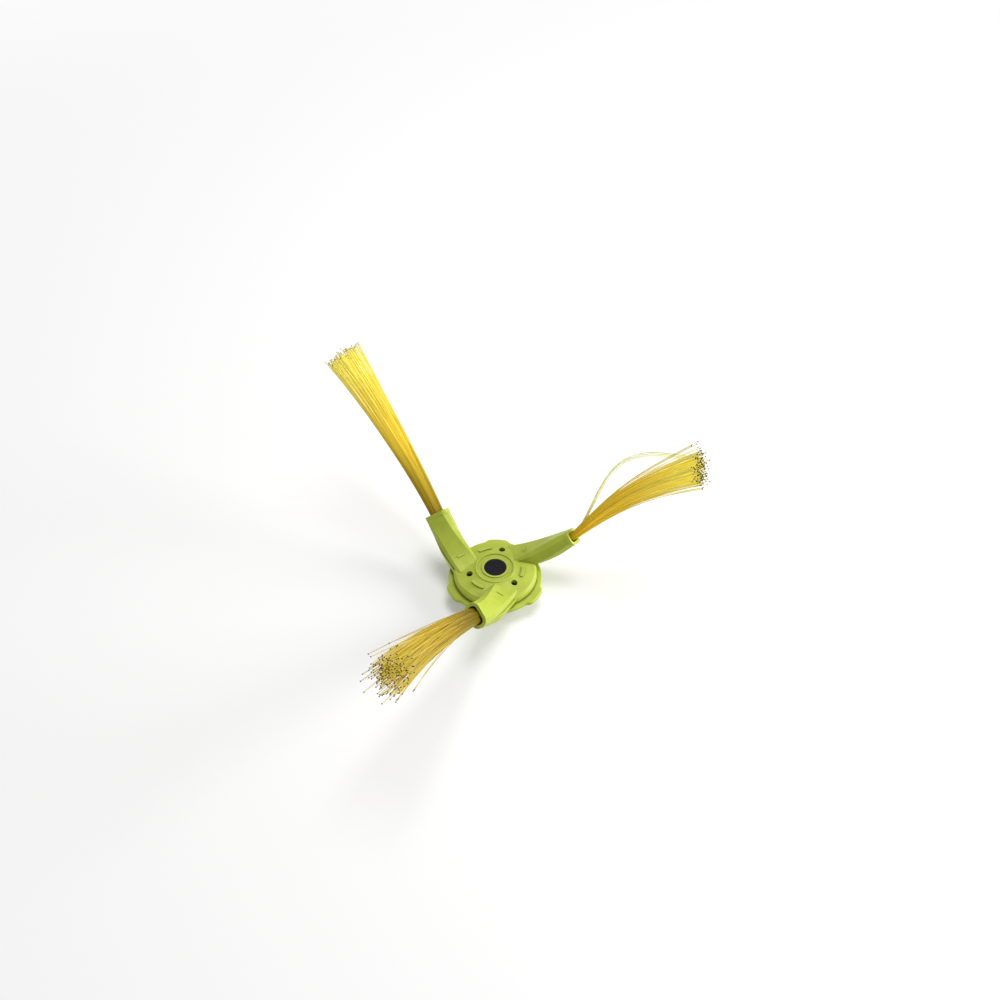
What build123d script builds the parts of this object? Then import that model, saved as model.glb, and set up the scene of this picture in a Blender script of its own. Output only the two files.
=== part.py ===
"""Side brush of a floor-cleaning robot: a two-part moulded hub whose three swept arms each hold a tuft.

Millimetres, +Z up. The origin is on the hub's axis, on the flat end of the drive boss that the brush
rests on. The first arm points along +X and the others follow it round the axis.
"""
import os
from math import atan, cos, pi, radians, sin, sqrt, tan

from build123d import *

# Driving dimensions: the base moulding, with the drive socket on its underside
boss_radius = 8.5
boss_height = 5.0
boss_chamfer = 0.6
socket_across_flats = 7.0
socket_lead_in = 0.5
skirt_radius = 16.0
skirt_thickness = 1.3
skirt_chamfer = 0.3
lobe_reach = 1.2
lobe_width = 4.4
lobe_span = 17.0
lobe_angle = 85.0
lobe_blend = 1.5
spigot_height = 1.0
spigot_wall = 1.2
seat_height = 0.6
post_wall = 1.1

# Driving dimensions: the steel keeper that the drive's magnet holds
keeper_radius = 3.85
keeper_flange_radius = 5.2
keeper_recess = 0.3

# Driving dimensions: the cover moulding
disc_radius = 14.2
disc_height = 4.1
disc_rim_height = 2.8
disc_rim_chamfer = 0.8
disc_foot_chamfer = 0.35
disc_side_wall = 1.8
disc_top_wall = 1.8
ring_radius = 6.9
ring_height = 0.3
ring_lip = 0.7
ring_dish = 0.3
ring_chamfer = 0.2
bore_rim = 0.7
pin_hole_radius = 1.15
pin_hole_circle = 9.05
pin_hole_angle = 73.0
bar_circle = 9.55
bar_angle = 109.0
bar_span = 23.0
bar_width = 1.1
bar_height = 0.5

# Driving dimensions: the arms of the cover, which swell, lift and roll on their way to the mouth
arm_offset = 6.9
arm_width = 8.6
arm_root = 5.0
arm_root_depth = 3.1
arm_belly = 2.0
arm_gap = 0.3
arm_rise = 38.0
mouth_reach = 27.0
mouth_lift = 11.2
mouth_roll = 39.0
mouth_width = 8.2
mouth_depth = 5.0
mouth_wall = 0.8
mouth_pocket = 2.5
collar_length = 1.4
collar_proud = 0.3
gusset_reach = 0.7
gusset_ledge = 1.9
gusset_lift = 0.2
tick_share = 0.27
tick_length = 2.4
tick_width = 0.7
tick_height = 0.3

# Driving dimensions: the tufts
plug_length = 3.5
strand_count = 25
strand_size = 0.45
bundle_width = 5.6
bundle_depth = 2.5
tip_width = 13.4
tip_depth = 12.0
tip_ragged = 3.0
fan_power = 0.9
bend_power = 1.7
# Each tuft: how far its tip leans along the mouth and rises across it, how far it bows on the way,
# its fan as a share of the tip sizes, and its free length
tuft_set = {
    "tuft_right": (-3.5, -0.3, 3.6, 1.0, 52.0),
    "tuft_left": (5.9, 2.8, 0.5, 0.85, 64.0),
    "tuft_front": (6.0, -5.5, 0.0, 0.9, 60.0),
}

# Clearances
keeper_clearance = 0.05
spigot_clearance = 0.1
post_clearance = 0.1
glue_gap = 0.05

# Levels and sizes that follow
skirt_top = boss_height + skirt_thickness
crown_top = skirt_top + disc_height
rim_top = skirt_top + disc_rim_height
ring_top = crown_top + ring_height
cavity_radius = disc_radius - disc_side_wall
cavity_roof = crown_top - disc_top_wall
seat_level = skirt_top + seat_height
seat_radius = keeper_flange_radius + keeper_clearance
bore_radius = keeper_radius + keeper_clearance
lobe_circle = skirt_radius + lobe_reach - lobe_width / 2
mouth_level = skirt_top + mouth_lift
arm_count = len(tuft_set)
arm_step = 360 / arm_count
pocket_width = mouth_width - 2 * mouth_wall
pocket_depth = mouth_depth - 2 * mouth_wall
plug_width = pocket_width - 2 * glue_gap
plug_depth = pocket_depth - 2 * glue_gap
golden_angle = 180 * (3 - sqrt(5))


def crown_level(radius):
    """Height of the disc's sloping top at a distance from the axis, outside the ring."""
    return crown_top - (crown_top - rim_top) * (radius - ring_radius) / (disc_radius - ring_radius)


def arm_depth(share):
    """Depth of the arm's section from the flat root (0) to the mouth (1), fullest half way."""
    return arm_root_depth + (mouth_depth - arm_root_depth) * share + arm_belly * sin(pi * share)


def arm_section(share):
    """Width, depth and corner size of the arm's section."""
    width = arm_width + (mouth_width - arm_width) * share
    return width, arm_depth(share), arm_depth(share) * (0.25 + 0.2 * share)


def arm_plane(share):
    """Plane square to the first arm: local X runs across the arm and local Y points out of its top."""
    root_level = skirt_top + arm_gap + arm_root_depth / 2
    run = mouth_reach - arm_root
    lift = mouth_level - root_level
    power = tan(radians(arm_rise)) * run / lift
    slope = atan(tan(radians(arm_rise)) * share ** (power - 1))
    roll = radians(mouth_roll * share)
    centre = (arm_root + run * share, arm_offset, root_level + lift * share ** power)
    across = (sin(roll) * sin(slope), cos(roll), -sin(roll) * cos(slope))
    return Plane(origin=centre, x_dir=across, z_dir=(cos(slope), 0, sin(slope)))


# Base: scalloped skirt over a round drive boss, with a six-sided socket and the keeper's seat
with BuildPart() as hub_base:
    with BuildSketch():
        Circle(boss_radius)
    extrude(amount=boss_height)
    chamfer(hub_base.faces().sort_by(Axis.Z)[0].edges(), boss_chamfer)
    with BuildSketch(Plane.XY.offset(boss_height)) as skirt:
        rim = Circle(skirt_radius).edge()
        for lobe in range(arm_count):
            start = lobe_angle + lobe * arm_step - lobe_span / 2
            SlotArc(CenterArc((0, 0), lobe_circle, start, lobe_span, mode=Mode.PRIVATE), lobe_width)
        fillet(skirt.vertices().filter_by(lambda corner: corner.distance_to(rim) < 0.01), lobe_blend)
    extrude(amount=skirt_thickness)
    chamfer(hub_base.edges().group_by(Axis.Z)[-1], skirt_chamfer)
    with BuildSketch(Plane.XY.offset(skirt_top)):
        Circle(cavity_radius - spigot_clearance)
        Circle(cavity_radius - spigot_clearance - spigot_wall, mode=Mode.SUBTRACT)
    extrude(amount=spigot_height)
    with BuildSketch(Plane.XY.offset(skirt_top)):
        Circle(seat_radius + post_wall)
    extrude(amount=cavity_roof - post_clearance - skirt_top)
    with BuildSketch(Plane.XY.offset(seat_level)):
        Circle(seat_radius)
    extrude(amount=cavity_roof - seat_level, mode=Mode.SUBTRACT)
    with BuildSketch():
        RegularPolygon(socket_across_flats / 2, 6, major_radius=False)
    extrude(amount=seat_level, mode=Mode.SUBTRACT)
    chamfer(hub_base.faces().sort_by(Axis.Z)[0].inner_wires()[0].edges(), socket_lead_in)
hub_base.part.label = "hub_base"

# Keeper: a blackened steel slug whose flange is trapped between the two mouldings
with BuildPart() as keeper:
    with BuildSketch(Plane.XY.offset(seat_level)):
        Circle(keeper_flange_radius)
    extrude(amount=cavity_roof - seat_level)
    with BuildSketch(Plane.XY.offset(cavity_roof)):
        Circle(keeper_radius)
    extrude(amount=ring_top - keeper_recess - cavity_roof)
    chamfer(keeper.faces().sort_by(Axis.Z)[-1].edges(), keeper_recess / 2)
keeper.part.label = "keeper"

# One arm in its own frame: a swept, rolled horn with a side gusset, a collar and a plain raised tick
with BuildPart() as arm:
    for share in (0, 1 / 3, 2 / 3, 1):
        with BuildSketch(arm_plane(share)) as section:
            width, depth, corner = arm_section(share)
            Rectangle(width, depth)
            chamfer(section.vertices(), corner * 0.6)
    loft()
    for share, reach in ((0.1, gusset_reach), (0.5, gusset_reach), (0.85, 0)):
        with BuildSketch(arm_plane(share)):
            width, depth, corner = arm_section(share)
            with Locations((width / 2 + reach, depth / 2 - gusset_ledge)):
                gusset_size = (width / 2 + reach, depth - gusset_ledge - gusset_lift)
                Rectangle(*gusset_size, align=(Align.MAX, Align.MAX))
    loft(ruled=True)
    with BuildSketch(arm_plane(1)):
        width, depth, corner = arm_section(1)
        RectangleRounded(width + 2 * collar_proud, depth + 2 * collar_proud, corner + collar_proud)
    extrude(amount=-collar_length)
    tick = arm_plane(tick_share)
    with BuildSketch(Plane(origin=tick.origin, x_dir=tick.x_dir, z_dir=tick.y_dir)):
        Rectangle(tick_length, tick_width)
    extrude(amount=arm_depth(tick_share) / 2 + tick_height)
    with BuildSketch(arm_plane(1)):
        RectangleRounded(pocket_width, pocket_depth, corner - mouth_wall)
    extrude(amount=-mouth_pocket - plug_length, mode=Mode.SUBTRACT)
    with BuildSketch():
        Circle(skirt_radius + arm_gap)
    extrude(amount=skirt_top + arm_gap, mode=Mode.SUBTRACT)

# Cover: sloping disc with a dished ring round the keeper, pin holes, grip bars and the arms
with BuildPart() as hub_cover:
    with BuildSketch(Plane.XZ) as disc:
        with BuildLine():
            Polyline((0, skirt_top), (0, crown_top), (ring_radius, crown_top), (disc_radius, rim_top),
                     (disc_radius, skirt_top), close=True)
        make_face()
        rim_corners = disc.vertices().group_by(Axis.X)[-1].sort_by(Axis.Y)
        chamfer(rim_corners[-1], disc_rim_chamfer)
        chamfer(rim_corners[0], disc_foot_chamfer)
    revolve(axis=Axis.Z)
    with PolarLocations(0, arm_count):
        add(arm.part)
    with BuildSketch(Plane.XY.offset(cavity_roof)):
        Circle(ring_radius)
    extrude(amount=ring_top - cavity_roof)
    chamfer(hub_cover.faces().sort_by(Axis.Z).filter_by(Plane.XY)[-1].edges(), ring_chamfer)
    with BuildSketch(Plane.XY.offset(ring_top)):
        Circle(ring_radius - ring_lip)
        Circle(bore_radius + bore_rim, mode=Mode.SUBTRACT)
    extrude(amount=-ring_dish, mode=Mode.SUBTRACT)
    with BuildSketch(Plane.XY.offset(cavity_roof)):
        for bar in range(arm_count):
            start = bar_angle + bar * arm_step - bar_span / 2
            SlotArc(CenterArc((0, 0), bar_circle, start, bar_span, mode=Mode.PRIVATE), bar_width)
    extrude(amount=crown_level(bar_circle) + bar_height - cavity_roof)
    with BuildSketch(Plane.XY.offset(skirt_top)):
        Circle(cavity_radius)
    extrude(amount=cavity_roof - skirt_top, mode=Mode.SUBTRACT)
    with BuildSketch(Plane.XY.offset(cavity_roof)):
        Circle(bore_radius)
        with PolarLocations(pin_hole_circle, arm_count, start_angle=pin_hole_angle):
            Circle(pin_hole_radius)
    extrude(amount=ring_top - cavity_roof, mode=Mode.SUBTRACT)
hub_cover.part.label = "hub_cover"


def strand_point(number, height, lean, rise, bow, fan_share, free_length):
    """Where a strand passes, in the mouth's plane, at a height above it: the bundle fans, bows and bends."""
    spread = sqrt((number + 0.5) / strand_count)
    around = radians(golden_angle * number)
    along = max(height, 0) / free_length
    fan = along ** fan_power
    across = (bundle_width + (tip_width * fan_share - bundle_width) * fan) / 2
    upward = (bundle_depth + (tip_depth * fan_share - bundle_depth) * fan) / 2
    bend = along ** bend_power
    lift = rise * bend + bow * sin(pi * along)
    return (spread * across * cos(around) + lean * bend, spread * upward * sin(around) + lift)


# Tufts: nylon strands of uneven length, melted together into a flat plug that is glued in the arm
tufts = []
for arm_number, (tuft_name, tuft_shape) in enumerate(tuft_set.items()):
    free_length = tuft_shape[-1]
    with BuildPart() as tuft:
        with BuildSketch(arm_plane(1).offset(-mouth_pocket - plug_length)) as plug:
            Rectangle(plug_width, plug_depth)
            chamfer(plug.vertices(), plug_depth * 0.4)
        extrude(amount=plug_length)
        strands = []
        for number in range(strand_count):
            tip = free_length + tip_ragged * cos(radians(golden_angle * number * number))
            sections = []
            for height in (-mouth_pocket - strand_size, 0, free_length * 0.3, free_length * 0.65, tip):
                with BuildSketch(arm_plane(1).offset(height), mode=Mode.PRIVATE) as section:
                    with Locations(strand_point(number, height, *tuft_shape)):
                        Rectangle(strand_size, strand_size)
                sections.append(section.sketch)
            strands.append(loft(sections, ruled=True, mode=Mode.PRIVATE))
        add(strands)
    tuft.part.label = tuft_name
    tufts.append(tuft.part.rotate(Axis.Z, arm_number * arm_step))

os.makedirs("parts", exist_ok=True)
for piece in (hub_base.part, keeper.part, hub_cover.part, *tufts):
    export_step(piece, "parts/" + piece.label + ".step")
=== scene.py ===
"""Side brush of a floor-cleaning robot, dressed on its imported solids: lime mouldings, a black steel keeper
and amber nylon tufts, on a white floor under soft light."""
from math import atan, cos, pi, radians, sin

import bpy
from mathutils import Matrix, Vector


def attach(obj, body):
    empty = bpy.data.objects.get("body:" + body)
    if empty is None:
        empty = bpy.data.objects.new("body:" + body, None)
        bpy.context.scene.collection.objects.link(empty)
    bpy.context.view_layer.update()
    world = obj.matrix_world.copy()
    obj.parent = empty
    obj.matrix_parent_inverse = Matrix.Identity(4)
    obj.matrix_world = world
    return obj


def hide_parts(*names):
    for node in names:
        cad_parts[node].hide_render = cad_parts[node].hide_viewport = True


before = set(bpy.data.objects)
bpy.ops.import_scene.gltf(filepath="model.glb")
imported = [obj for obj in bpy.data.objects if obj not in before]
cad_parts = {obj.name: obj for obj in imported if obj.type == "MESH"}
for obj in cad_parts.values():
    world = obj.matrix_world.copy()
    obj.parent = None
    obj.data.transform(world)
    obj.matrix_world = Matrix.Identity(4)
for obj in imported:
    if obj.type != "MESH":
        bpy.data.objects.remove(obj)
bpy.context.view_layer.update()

# Base moulding: the scalloped skirt and drive boss under the hub, injection moulded in satin lime
# plastic. Its edges carry a painted highlight, a little lighter than its faces, and its corners a painted
# shade; its tone is faintly mottled, and its skin has the fine grain of a spark-eroded mould.
moulding_finish = {
    "face colour": (0.44, 0.52, 0.062, 1),
    "mottle colour": (0.39, 0.46, 0.048, 1),
    # Painted highlight along the edges, and painted shade in the corners, over the plastic's own colours.
    "painted highlight colour": (0.70, 0.79, 0.16, 1),
    "painted crevice shade colour": (0.12, 0.14, 0.012, 1),
    "edge size": 0.0003,
    "crevice reach": 0.0012,
    "mottle scale": 210,
    "roughness": (0.38, 0.5),
    "specular level": 0.2,
}
moulding_grain_scale = 2600
moulding_grain_depth = 0.00003
moulding_grain_strength = 0.25
edge_samples = 6
edge_strength = 0.7
full_edge_cosine = 0.75
mottle_detail = 4
mottle_range = (0.35, 0.65)
crevice_samples = 8
crevice_openness = (0.9, 0.25)


def painted_edge_highlight_group():
    """Shader group that marks the edges of a piece, by how far a rounded normal leans from the true one, for
    a painted highlight.
    """
    group = bpy.data.node_groups.new("painted edge highlight", "ShaderNodeTree")
    group.interface.new_socket("Size", in_out="INPUT", socket_type="NodeSocketFloat")
    group.interface.new_socket("Strength", in_out="INPUT", socket_type="NodeSocketFloat")
    group.interface.new_socket("Mask", in_out="OUTPUT", socket_type="NodeSocketFloat")
    inputs = group.nodes.new("NodeGroupInput")
    outputs = group.nodes.new("NodeGroupOutput")
    rounded = group.nodes.new("ShaderNodeBevel")
    rounded.samples = edge_samples
    true_normal = group.nodes.new("ShaderNodeNewGeometry")
    lean = group.nodes.new("ShaderNodeVectorMath")
    lean.operation = "DOT_PRODUCT"
    mask = group.nodes.new("ShaderNodeMapRange")
    mask.inputs["From Min"].default_value = 1
    mask.inputs["From Max"].default_value = full_edge_cosine
    group.links.new(inputs.outputs["Size"], rounded.inputs["Radius"])
    group.links.new(rounded.outputs["Normal"], lean.inputs[0])
    group.links.new(true_normal.outputs["Normal"], lean.inputs[1])
    group.links.new(lean.outputs["Value"], mask.inputs["Value"])
    group.links.new(inputs.outputs["Strength"], mask.inputs["To Max"])
    group.links.new(mask.outputs["Result"], outputs.inputs["Mask"])
    return group


def mottle_group():
    """Shader group with a soft cloudy mask, for the uneven tone and polish of a handled surface."""
    group = bpy.data.node_groups.new("mottle", "ShaderNodeTree")
    group.interface.new_socket("Scale", in_out="INPUT", socket_type="NodeSocketFloat")
    group.interface.new_socket("Mask", in_out="OUTPUT", socket_type="NodeSocketFloat")
    inputs = group.nodes.new("NodeGroupInput")
    outputs = group.nodes.new("NodeGroupOutput")
    place = group.nodes.new("ShaderNodeTexCoord")
    clouds = group.nodes.new("ShaderNodeTexNoise")
    clouds.inputs["Detail"].default_value = mottle_detail
    mask = group.nodes.new("ShaderNodeMapRange")
    mask.inputs["From Min"].default_value, mask.inputs["From Max"].default_value = mottle_range
    group.links.new(place.outputs["Object"], clouds.inputs["Vector"])
    group.links.new(inputs.outputs["Scale"], clouds.inputs["Scale"])
    group.links.new(clouds.outputs["Fac"], mask.inputs["Value"])
    group.links.new(mask.outputs["Result"], outputs.inputs["Mask"])
    return group


painted_edge_highlight = painted_edge_highlight_group()
mottle = mottle_group()


def mottled_material_with_painted_light(name, finish):
    """Material of a piece: faces of a mottled tone and polish, a painted highlight along the edges and
    painted shade in the corners.
    """
    material = bpy.data.materials.new(name)
    material.use_nodes = True
    nodes, links = material.node_tree.nodes, material.node_tree.links
    shader = nodes["Principled BSDF"]
    shader.inputs["Specular IOR Level"].default_value = finish["specular level"]
    clouds = nodes.new("ShaderNodeGroup")
    clouds.node_tree = mottle
    clouds.inputs["Scale"].default_value = finish["mottle scale"]
    # Painted highlight: the colour is lightened along the piece's edges.
    edges = nodes.new("ShaderNodeGroup")
    edges.node_tree = painted_edge_highlight
    edges.inputs["Size"].default_value = finish["edge size"]
    edges.inputs["Strength"].default_value = edge_strength
    # Painted shade: the colour is darkened where ambient occlusion finds a corner.
    hollows = nodes.new("ShaderNodeAmbientOcclusion")
    hollows.samples = crevice_samples
    hollows.inputs["Distance"].default_value = finish["crevice reach"]
    painted_crevice_shade = nodes.new("ShaderNodeMapRange")
    painted_crevice_shade.inputs["From Min"].default_value, painted_crevice_shade.inputs["From Max"].default_value = crevice_openness
    links.new(hollows.outputs["AO"], painted_crevice_shade.inputs["Value"])
    masks = {
        "mottle colour": clouds.outputs["Mask"],
        "painted highlight colour": edges.outputs["Mask"],
        "painted crevice shade colour": painted_crevice_shade.outputs["Result"],
    }
    colour = None
    for added, mask in masks.items():
        layer = nodes.new("ShaderNodeMix")
        layer.data_type = "RGBA"
        layer.inputs["A"].default_value = finish["face colour"]
        layer.inputs["B"].default_value = finish[added]
        links.new(mask, layer.inputs["Factor"])
        if colour:
            links.new(colour, layer.inputs["A"])
        colour = layer.outputs["Result"]
    polish = nodes.new("ShaderNodeMapRange")
    polish.inputs["To Min"].default_value, polish.inputs["To Max"].default_value = finish["roughness"]
    links.new(clouds.outputs["Mask"], polish.inputs["Value"])
    links.new(colour, shader.inputs["Base Color"])
    links.new(polish.outputs["Result"], shader.inputs["Roughness"])
    return material


def add_relief(material, texture, depth, strength):
    """Raises a texture, laid on the piece's own coordinates, as a bump of the material."""
    nodes, links = material.node_tree.nodes, material.node_tree.links
    place = nodes.new("ShaderNodeTexCoord")
    bump = nodes.new("ShaderNodeBump")
    bump.inputs["Strength"].default_value = strength
    bump.inputs["Distance"].default_value = depth
    links.new(place.outputs["Object"], texture.inputs["Vector"])
    links.new(texture.outputs["Fac"], bump.inputs["Height"])
    links.new(bump.outputs["Normal"], nodes["Principled BSDF"].inputs["Normal"])


def dress(node, material):
    """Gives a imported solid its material."""
    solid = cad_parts[node]
    solid.data.materials.clear()
    solid.data.materials.append(material)


moulding = mottled_material_with_painted_light("lime moulding", moulding_finish)
moulding_grain = moulding.node_tree.nodes.new("ShaderNodeTexNoise")
moulding_grain.inputs["Scale"].default_value = moulding_grain_scale
add_relief(moulding, moulding_grain, moulding_grain_depth, moulding_grain_strength)
dress("hub_base", moulding)

# Keeper: the turned steel slug in the middle of the hub, blackened and dull, trapped between the two
# mouldings. Only its top face shows, with faint turning marks round its centre and a bright painted
# highlight round its edge.
keeper_finish = {
    "face colour": (0.005, 0.005, 0.008, 1),
    "mottle colour": (0.012, 0.012, 0.017, 1),
    # Painted highlight round the edge, and painted shade in the corners, over the blackened steel.
    "painted highlight colour": (0.50, 0.50, 0.48, 1),
    "painted crevice shade colour": (0.008, 0.008, 0.01, 1),
    "edge size": 0.00025,
    "crevice reach": 0.0005,
    "mottle scale": 1400,
    "roughness": (0.5, 0.66),
    "specular level": 0.08,
}
keeper_turning_scale = 900
keeper_turning_waver = 1
keeper_turning_depth = 0.00002
keeper_turning_strength = 0.3

keeper_steel = mottled_material_with_painted_light("blackened steel", keeper_finish)
keeper_turning = keeper_steel.node_tree.nodes.new("ShaderNodeTexWave")
keeper_turning.wave_type = "RINGS"
keeper_turning.rings_direction = "Z"
keeper_turning.inputs["Scale"].default_value = keeper_turning_scale
keeper_turning.inputs["Distortion"].default_value = keeper_turning_waver
add_relief(keeper_steel, keeper_turning, keeper_turning_depth, keeper_turning_strength)
dress("keeper", keeper_steel)

# Cover moulding: the sloping disc with its dished ring, pin holes, grip bars and the three rolled arms,
# from the same lime plastic as the base, pressed on to the base's spigot.
dress("hub_cover", moulding)

# Tufts: about two hundred nylon filaments in each arm, melted together at the root and cut across at the
# tip, where each cut end is a small bead, dark on most. The bundle leaves the mouth flat, fans out and
# bends. Sizes are in millimetres. A tuft's colour, and its root's, are scaled by painted light and shade,
# darker on the front tuft, whose seen side is turned from the light, and lighter at the right tuft's root;
# a bead tone scales the colour of its beads.
mm = 0.001
mouth_place = Vector((27.0, 6.9, 17.5)) * mm
mouth_rise = radians(38)
mouth_roll = radians(39)
mouth_depth = 3.2 * mm
filament_count = 220
filament_radius = 0.11 * mm
filament_points = 15
filament_sides = 5
bead_radius = 0.21 * mm
bead_rounding = 2
bend_power = 1.7
stray_power = 3
seed_step = 11
golden_angle = pi * (3 - 5 ** 0.5)
tuft_sizes = {
    "tuft_right": {
        "Length": 51.6, "Lean": -3.5, "Rise": -0.3, "Arch": 3.0,
        "Root width": 5.0, "Root depth": 2.4, "Tip width": 13.2, "Tip depth": 11.6,
        "Slant across": 0.0, "Slant upward": 3.0, "Ragged": 1.4, "Stray": 3.0},
    "tuft_left": {
        "Length": 63.2, "Lean": 6.1, "Rise": 2.6, "Arch": 0.5,
        "Root width": 5.0, "Root depth": 2.4, "Tip width": 12.2, "Tip depth": 10.6,
        "Slant across": -1.2, "Slant upward": 0.0, "Ragged": 1.0, "Stray": 2.6},
    "tuft_front": {
        "Length": 60.0, "Lean": 6.0, "Rise": -5.5, "Arch": 0.0,
        "Root width": 5.4, "Root depth": 2.6, "Tip width": 11.6, "Tip depth": 10.4,
        "Slant across": 0.0, "Slant upward": 0.0, "Ragged": 3.0, "Stray": 4.4},
}
tuft_shapes = {
    # The tuft and root tones are painted light and shade: the front tuft is darker, as its seen side is
    # turned from the light, and the right tuft's root lighter.
    "tuft_right": {"Fan power": 0.9, "Painted light": 1.12, "Root painted light": 1.5, "Bead tone": 1.0},
    "tuft_left": {"Fan power": 1.2, "Painted light": 1.08, "Root painted light": 0.92, "Bead tone": 14.0},
    "tuft_front": {"Fan power": 0.9, "Painted light": 0.60, "Root painted light": 0.68, "Bead tone": 1.0},
}
shade_range = (0.7, 1.16)
root_painted_light_fade = (0.1, 0.4)
# Painted shade: the nylon is darker at the mouth, for the mouth's shadow on the roots, and at the root of
# the dense bundle.
painted_mouth_shade = (0.40, 0.26, 0.006, 1)
nylon_root = (0.55, 0.38, 0.008, 1)
nylon_middle = (0.88, 0.68, 0.055, 1)
nylon_tip = (0.89, 0.79, 0.15, 1)
# A warmer nylon for the front tuft: painted shade of its side turned from the light.
shaded_front_middle = (0.84, 0.59, 0.04, 1)
shaded_front_tip = (0.98, 0.75, 0.09, 1)
nylon_bead = (0.028, 0.022, 0.005, 1)
nylon_stops = (0.12, 0.42, 0.8, 0.93)
bead_stop = 0.96
filament_share = 0.9
nylon_roughness = 0.36
nylon_specular = 0.25
nylon_clearness = 0.94

outward = Vector((cos(mouth_rise), 0, sin(mouth_rise)))
across = Vector((sin(mouth_roll) * sin(mouth_rise), cos(mouth_roll), -sin(mouth_roll) * cos(mouth_rise)))
upward = outward.cross(across)


def nylon_material(name, mouth_shade, root, middle, tip, bead):
    """Clear nylon whose colour runs along each filament, darkened at the mouth and root as painted shade,
    and scaled by each filament's stored shade. Most light passes through.
    """
    material = bpy.data.materials.new(name)
    material.use_nodes = True
    nodes, links = material.node_tree.nodes, material.node_tree.links
    shader = nodes["Principled BSDF"]
    shader.inputs["Roughness"].default_value = nylon_roughness
    shader.inputs["Specular IOR Level"].default_value = nylon_specular
    share = nodes.new("ShaderNodeAttribute")
    share.attribute_name = "share"
    shade = nodes.new("ShaderNodeAttribute")
    shade.attribute_name = "shade"
    ramp = nodes.new("ShaderNodeValToRGB")
    stops = ramp.color_ramp.elements
    stops[0].color = mouth_shade
    stops[1].position = bead_stop
    stops[1].color = bead
    for position, colour in zip(nylon_stops, (root, middle, tip, tip)):
        stops.new(position).color = colour
    tone = nodes.new("ShaderNodeHueSaturation")
    links.new(share.outputs["Fac"], ramp.inputs["Fac"])
    links.new(ramp.outputs["Color"], tone.inputs["Color"])
    links.new(shade.outputs["Fac"], tone.inputs["Value"])
    links.new(tone.outputs["Color"], shader.inputs["Base Color"])
    rays = nodes.new("ShaderNodeLightPath")
    passing = nodes.new("ShaderNodeMath")
    passing.operation = "MULTIPLY"
    passing.inputs[1].default_value = nylon_clearness
    clear = nodes.new("ShaderNodeBsdfTransparent")
    either = nodes.new("ShaderNodeMixShader")
    links.new(rays.outputs["Is Shadow Ray"], passing.inputs[0])
    links.new(passing.outputs[0], either.inputs["Fac"])
    links.new(shader.outputs[0], either.inputs[1])
    links.new(clear.outputs[0], either.inputs[2])
    links.new(either.outputs[0], nodes["Material Output"].inputs["Surface"])
    return material


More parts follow.
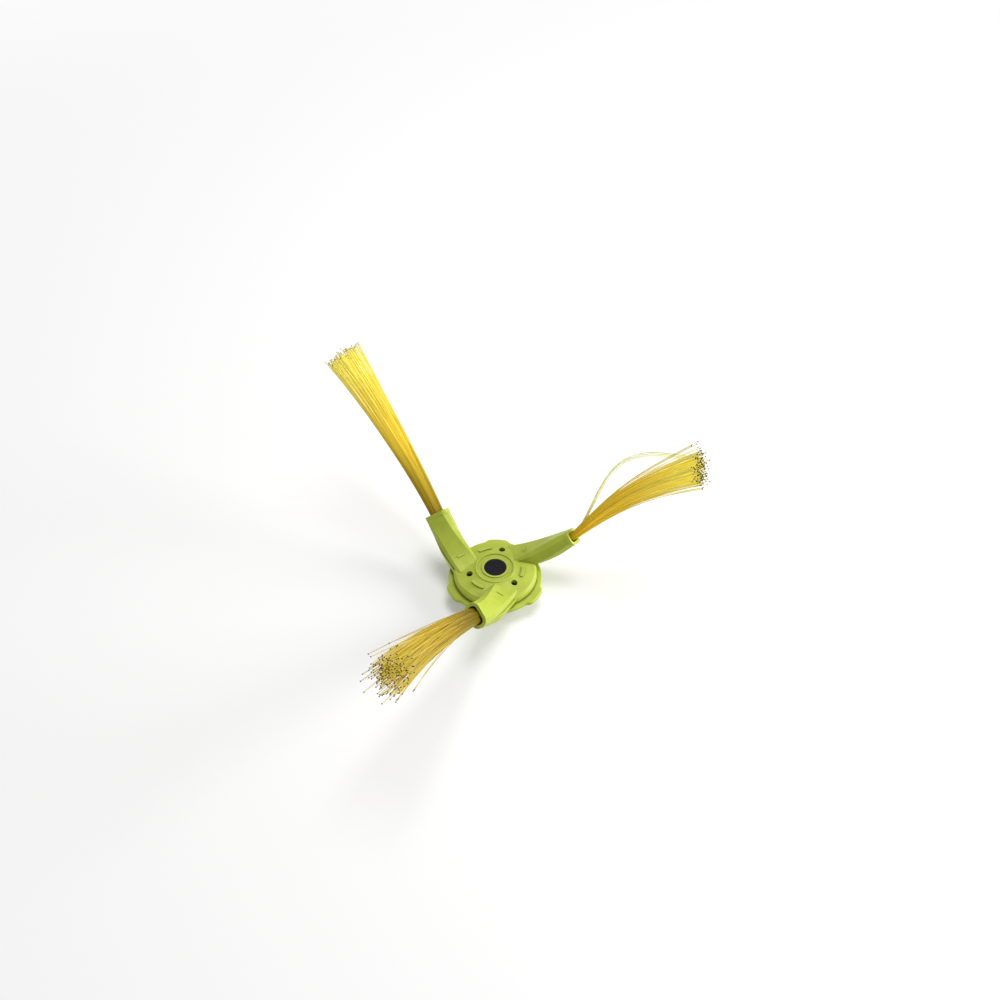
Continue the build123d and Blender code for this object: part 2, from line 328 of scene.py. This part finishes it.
def tuft_tree():
    """Geometry Nodes tree of one tuft: copies of a unit line are bent into filaments, swept and beaded."""
    tree = bpy.data.node_groups.new("nylon tuft", "GeometryNodeTree")
    sockets = tree.interface
    for name in ("Length", "Lean", "Rise", "Arch", "Root width", "Root depth", "Tip width", "Tip depth",
                 "Slant across", "Slant upward", "Ragged", "Stray", "Fan power", "Bend power", "Arch power",
                 "Arch skew", "Painted light", "Root painted light", "Bead tone", "Depth in mouth", "Filament radius",
                 "Bead radius"):
        sockets.new_socket(name, in_out="INPUT", socket_type="NodeSocketFloat")
    for name in ("Filaments", "Seed"):
        sockets.new_socket(name, in_out="INPUT", socket_type="NodeSocketInt")
    for name in ("Mouth", "Across", "Upward", "Outward"):
        sockets.new_socket(name, in_out="INPUT", socket_type="NodeSocketVector")
    sockets.new_socket("Material", in_out="INPUT", socket_type="NodeSocketMaterial")
    sockets.new_socket("Geometry", in_out="OUTPUT", socket_type="NodeSocketGeometry")
    given = tree.nodes.new("NodeGroupInput").outputs
    length_salt, across_salt, upward_salt, shade_salt = 1, 2, 3, 4

    def place(kind, *values, **settings):
        """Adds a node, sets it, links or fills its inputs in order, and returns its first output."""
        node = tree.nodes.new(kind)
        for name, value in settings.items():
            setattr(node, name, value)
        for socket, value in zip(node.inputs, values):
            if isinstance(value, bpy.types.NodeSocket):
                tree.links.new(value, socket)
            elif value is not None:
                socket.default_value = value
        return node.outputs[0]

    def math(operation, *values):
        """A sum, product or other figure worked out from up to three values."""
        return place("ShaderNodeMath", *values, operation=operation)

    def scaled(vector, factor):
        """A direction made as long as a factor says."""
        node = tree.nodes.new("ShaderNodeVectorMath")
        node.operation = "SCALE"
        tree.links.new(vector, node.inputs["Vector"])
        tree.links.new(factor, node.inputs["Scale"])
        return node.outputs["Vector"]

    def added(first, second):
        """The sum of two vectors."""
        return place("ShaderNodeVectorMath", first, second, operation="ADD")

    def stored(geometry, name, value):
        """The geometry with a number kept at each of its points, for the material to read."""
        return place("GeometryNodeStoreNamedAttribute", geometry, None, name, value)

    line = place("GeometryNodeCurvePrimitiveLine", None, (0, 0, 0), (0, 0, 1))
    line = place("GeometryNodeResampleCurve", line, None, filament_points)
    copies = tree.nodes.new("GeometryNodeDuplicateElements")
    copies.domain = "SPLINE"
    tree.links.new(line, copies.inputs["Geometry"])
    tree.links.new(given["Filaments"], copies.inputs["Amount"])
    number = copies.outputs["Duplicate Index"]

    def chance(low, high, salt):
        """A fixed random number of each filament."""
        node = tree.nodes.new("FunctionNodeRandomValue")
        node.data_type = "FLOAT"
        node.inputs[2].default_value = low
        node.inputs[3].default_value = high
        tree.links.new(number, node.inputs["ID"])
        tree.links.new(math("ADD", given["Seed"], salt), node.inputs["Seed"])
        return node.outputs[1]

    ring = math("SQRT", math("DIVIDE", math("ADD", number, 0.5), given["Filaments"]))
    turn = math("MULTIPLY", number, golden_angle)
    side_across = math("MULTIPLY", ring, math("COSINE", turn))
    side_upward = math("MULTIPLY", ring, math("SINE", turn))
    share = place("GeometryNodeSplineParameter")
    length = math("MULTIPLY_ADD", given["Ragged"], chance(-1, 1, length_salt), given["Length"])
    length = math("MULTIPLY_ADD", given["Slant across"], side_across, length)
    length = math("MULTIPLY_ADD", given["Slant upward"], side_upward, length)
    reach = math("ADD", length, given["Depth in mouth"])
    height = math("SUBTRACT", math("MULTIPLY", share, reach), given["Depth in mouth"])
    along = math("DIVIDE", math("MAXIMUM", height, 0), given["Length"])
    fan = math("POWER", along, given["Fan power"])
    bend = math("POWER", along, given["Bend power"])
    skewed = math("POWER", along, given["Arch skew"])
    bulge = math("POWER", math("SINE", math("MULTIPLY", skewed, pi)), given["Arch power"])
    wander = math("MULTIPLY", math("MULTIPLY", along, along), given["Stray"])

    def offset(root, tip, side, drift, salt):
        """How far a filament stands off the bundle's line one way: its fan, its drift and its straying."""
        half = math("MULTIPLY", math("MULTIPLY_ADD", math("SUBTRACT", tip, root), fan, root), 0.5)
        stray = math("MULTIPLY", wander, math("POWER", chance(-1, 1, salt), stray_power))
        return math("ADD", math("MULTIPLY_ADD", half, side, stray), math("MULTIPLY", drift, bend))

    sideways = offset(given["Root width"], given["Tip width"], side_across, given["Lean"], across_salt)
    lifted = offset(given["Root depth"], given["Tip depth"], side_upward, given["Rise"], upward_salt)
    lifted = math("MULTIPLY_ADD", given["Arch"], bulge, lifted)
    point = added(given["Mouth"], scaled(given["Outward"], height))
    point = added(point, added(scaled(given["Across"], sideways), scaled(given["Upward"], lifted)))
    curves = place("GeometryNodeSetPosition", copies.outputs["Geometry"], None, point)
    curves = stored(curves, "share", math("MULTIPLY", share, filament_share))
    # Painted light and shade at the root, fading out along the filament, and over the whole tuft, on each
    # filament's random tone.
    root_painted_light = place("ShaderNodeMapRange", along, *root_painted_light_fade, given["Root painted light"], 1.0)
    shade = math("MULTIPLY", chance(*shade_range, shade_salt), given["Painted light"])
    curves = stored(curves, "shade", math("MULTIPLY", shade, root_painted_light))

    profile = place("GeometryNodeCurvePrimitiveCircle", filament_sides, None, None, None,
                    given["Filament radius"])
    filaments = place("GeometryNodeCurveToMesh", curves, profile, None, True)
    ends = place("GeometryNodeCurveEndpointSelection", 0, 1)
    bead = place("GeometryNodeMeshIcoSphere", given["Bead radius"], bead_rounding)
    beads = place("GeometryNodeInstanceOnPoints", curves, ends, bead)
    beads = place("GeometryNodeRealizeInstances", beads)
    beads = stored(beads, "share", 1.0)
    beads = stored(beads, "shade", given["Bead tone"])
    whole = tree.nodes.new("GeometryNodeJoinGeometry")
    tree.links.new(filaments, whole.inputs[0])
    tree.links.new(beads, whole.inputs[0])
    smooth = place("GeometryNodeSetShadeSmooth", whole.outputs[0])
    solid = place("GeometryNodeRealizeInstances", smooth)
    done = place("GeometryNodeSetMaterial", solid, None, given["Material"])
    tree.links.new(done, tree.nodes.new("NodeGroupOutput").inputs["Geometry"])
    return tree


def grow(name, tree, values):
    """Runs the tuft tree with the given inputs and returns its result as a plain mesh object."""
    piece = bpy.data.objects.new(name, bpy.data.meshes.new(name))
    bpy.context.scene.collection.objects.link(piece)
    growth = piece.modifiers.new("tuft", "NODES")
    growth.node_group = tree
    for socket in tree.interface.items_tree:
        if socket.in_out == "INPUT":
            growth[socket.identifier] = values[socket.name]
    graph = bpy.context.evaluated_depsgraph_get()
    grown = piece.evaluated_get(graph)
    mesh = bpy.data.meshes.new_from_object(grown, preserve_all_data_layers=True, depsgraph=graph)
    piece.modifiers.clear()
    piece.data = mesh
    return piece


nylon = nylon_material("amber nylon", painted_mouth_shade, nylon_root, nylon_middle, nylon_tip, nylon_bead)
front_nylon_in_painted_shade = nylon_material("front nylon in painted shade", painted_mouth_shade, nylon_root, shaded_front_middle, shaded_front_tip, nylon_bead)
nylons = {"tuft_right": nylon, "tuft_left": nylon, "tuft_front": front_nylon_in_painted_shade}
tuft = tuft_tree()
arm_step = 2 * pi / len(tuft_sizes)


def tuft_values(arm, sizes, shape, filaments, material):
    """Inputs of the tuft tree for one arm: its sizes in metres, and the mouth's place and directions."""
    swing = Matrix.Rotation(arm * arm_step, 3, "Z")
    values = {name: size * mm for name, size in sizes.items()}
    values |= {"Bend power": bend_power, "Arch power": 1.0, "Arch skew": 1.0} | shape
    values |= {"Depth in mouth": mouth_depth, "Filament radius": filament_radius, "Bead radius": bead_radius}
    values |= {"Mouth": swing @ mouth_place, "Across": swing @ across}
    values |= {"Upward": swing @ upward, "Outward": swing @ outward}
    return values | {"Filaments": filaments, "Seed": seed_step * arm, "Material": material}


for arm, (node, sizes) in enumerate(tuft_sizes.items()):
    values = tuft_values(arm, sizes, tuft_shapes[node], filament_count, nylons[node])
    bristles = grow("bristles_" + node, tuft, values)
    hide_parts(node)
    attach(bristles, "root")

# Loose lock: a few filaments of the right tuft that have worked free of the bundle. They leave the mouth
# with the rest, bow up away from them and come back at the tip. The light shines through such a thin lock,
# so its nylon looks paler and clearer, and its ends are as pale.
lock_arm = 0
lock_filaments = 9
lock_sizes = {
    "Length": 52.0, "Lean": -1.0, "Rise": 2.0, "Arch": 12.9,
    "Root width": 2.0, "Root depth": 0.8, "Tip width": 4.0, "Tip depth": 2.4,
    "Slant across": 0.0, "Slant upward": 0.0, "Ragged": 2.0, "Stray": 0.8}
lock_shape = {
    "Fan power": 0.9, "Painted light": 1.0, "Root painted light": 1.0, "Bead tone": 1.0, "Arch power": 1.1, "Arch skew": 1.2}
pale_colour = (0.98, 0.98, 0.62, 1)
pale_transmission = 0.85

pale_nylon = nylon_material("pale nylon", nylon_root, nylon_tip, pale_colour, pale_colour, nylon_tip)
pale_shader = pale_nylon.node_tree.nodes["Principled BSDF"]
pale_shader.inputs["Transmission Weight"].default_value = pale_transmission
lock = grow("loose_lock", tuft, tuft_values(lock_arm, lock_sizes, lock_shape, lock_filaments, pale_nylon))
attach(lock, "root")

# Floor: a wide white sheet that the brush stands on. It keeps the soft shadow round the brush and fades to
# plain white further out.
floor_size = 6
floor_colour = (0.98, 0.98, 0.98, 1)
floor_roughness = 0.9
floor_specular = 0.1
floor_white = 0.2
shadow_reach = 0.12
white_reach = 0.6


def seen_directly(nodes, links):
    """1 for rays that see a surface straight, mirrored or through a clear piece, and 0 for the rest."""
    rays = nodes.new("ShaderNodeLightPath")
    seen = rays.outputs["Is Camera Ray"]
    for ray in ("Is Glossy Ray", "Is Transmission Ray"):
        either = nodes.new("ShaderNodeMath")
        either.operation = "MAXIMUM"
        links.new(seen, either.inputs[0])
        links.new(rays.outputs[ray], either.inputs[1])
        seen = either.outputs[0]
    return seen


bpy.ops.mesh.primitive_plane_add(size=floor_size)
floor = bpy.context.object
floor.name = "floor"
paper = bpy.data.materials.new("white floor")
paper.use_nodes = True
paper_nodes, paper_links = paper.node_tree.nodes, paper.node_tree.links
paper_shader = paper_nodes["Principled BSDF"]
paper_shader.inputs["Base Color"].default_value = floor_colour
paper_shader.inputs["Roughness"].default_value = floor_roughness
paper_shader.inputs["Specular IOR Level"].default_value = floor_specular
paper_glow = paper_nodes.new("ShaderNodeEmission")
paper_mix = paper_nodes.new("ShaderNodeMixShader")
paper_place = paper_nodes.new("ShaderNodeTexCoord")
paper_distance = paper_nodes.new("ShaderNodeVectorMath")
paper_distance.operation = "LENGTH"
paper_fade = paper_nodes.new("ShaderNodeMapRange")
paper_fade.inputs["From Min"].default_value = shadow_reach
paper_fade.inputs["From Max"].default_value = white_reach
paper_fade.inputs["To Min"].default_value = floor_white
paper_white = paper_nodes.new("ShaderNodeMath")
paper_white.operation = "MULTIPLY"
paper_links.new(paper_place.outputs["Object"], paper_distance.inputs[0])
paper_links.new(paper_distance.outputs["Value"], paper_fade.inputs["Value"])
paper_links.new(paper_fade.outputs["Result"], paper_white.inputs[0])
paper_links.new(seen_directly(paper_nodes, paper_links), paper_white.inputs[1])
paper_links.new(paper_white.outputs[0], paper_mix.inputs["Fac"])
paper_links.new(paper_shader.outputs[0], paper_mix.inputs[1])
paper_links.new(paper_glow.outputs[0], paper_mix.inputs[2])
paper_links.new(paper_mix.outputs[0], paper_nodes["Material Output"].inputs["Surface"])
floor.data.materials.append(paper)

# Light: a white room, with a soft lamp overhead and a wide low window on the right. The room is plain white
# where it is seen, and lights the brush more dimly than that.
room_level = 0.32
lamps = (
    ("window", 0.35, 6.0, (0.74, 0.05, 0.3)),
    ("ceiling lamp", 0.4, 3.1, (0.10, 0.18, 0.76)),
)
room = bpy.data.worlds.new("white room")
room.use_nodes = True
room_nodes, room_links = room.node_tree.nodes, room.node_tree.links
room_nodes["Background"].inputs["Color"].default_value = (1, 1, 1, 1)
room_share = room_nodes.new("ShaderNodeMapRange")
room_share.inputs["To Min"].default_value = room_level
room_links.new(seen_directly(room_nodes, room_links), room_share.inputs["Value"])
room_links.new(room_share.outputs["Result"], room_nodes["Background"].inputs["Strength"])
bpy.context.scene.world = room
for name, size, watts, place in lamps:
    lamp = bpy.data.lights.new(name, "AREA")
    lamp.size = size
    lamp.energy = watts
    hung = bpy.data.objects.new(name, lamp)
    hung.location = place
    hung.rotation_euler = (-hung.location).to_track_quat("-Z", "Y").to_euler()
    bpy.context.scene.collection.objects.link(hung)

# Camera: looks down on the hub at the photograph's angle, from about half a metre away, with the hub a
# little below the picture's middle.
camera_height = radians(48.25)
camera_turn = radians(2.07)
camera_distance = 0.461
focal_pixels = 1350.7
hub_right_pixels = -5.0
hub_below_pixels = 68.7
picture_pixels = 1000
sensor_width = 36
hub_top = Vector((0, 0, 0.0099))
view_right = Vector((cos(camera_turn), -sin(camera_turn), 0))
view_ahead = Vector((sin(camera_turn), cos(camera_turn), 0))
gaze = view_ahead * cos(camera_height) - Vector((0, 0, sin(camera_height)))
stand = hub_top - gaze * camera_distance
tilt = atan(hub_below_pixels / focal_pixels)
pan = atan(-hub_right_pixels / focal_pixels)
gaze = gaze * cos(tilt) + view_right.cross(gaze) * sin(tilt)
gaze = (gaze * cos(pan) + view_right * sin(pan)).normalized()
view_right = gaze.cross(Vector((0, 0, 1))).normalized()
view_axes = Matrix((view_right, view_right.cross(gaze), -gaze)).transposed()
lens = bpy.data.cameras.new("camera")
lens.sensor_width = sensor_width
lens.lens = focal_pixels / picture_pixels * sensor_width
camera = bpy.data.objects.new("camera", lens)
camera.matrix_world = Matrix.Translation(stand) @ view_axes.to_4x4()
bpy.context.scene.collection.objects.link(camera)
bpy.context.scene.camera = camera
bpy.context.scene.view_settings.view_transform = "Standard"

bpy.context.view_layer.update()
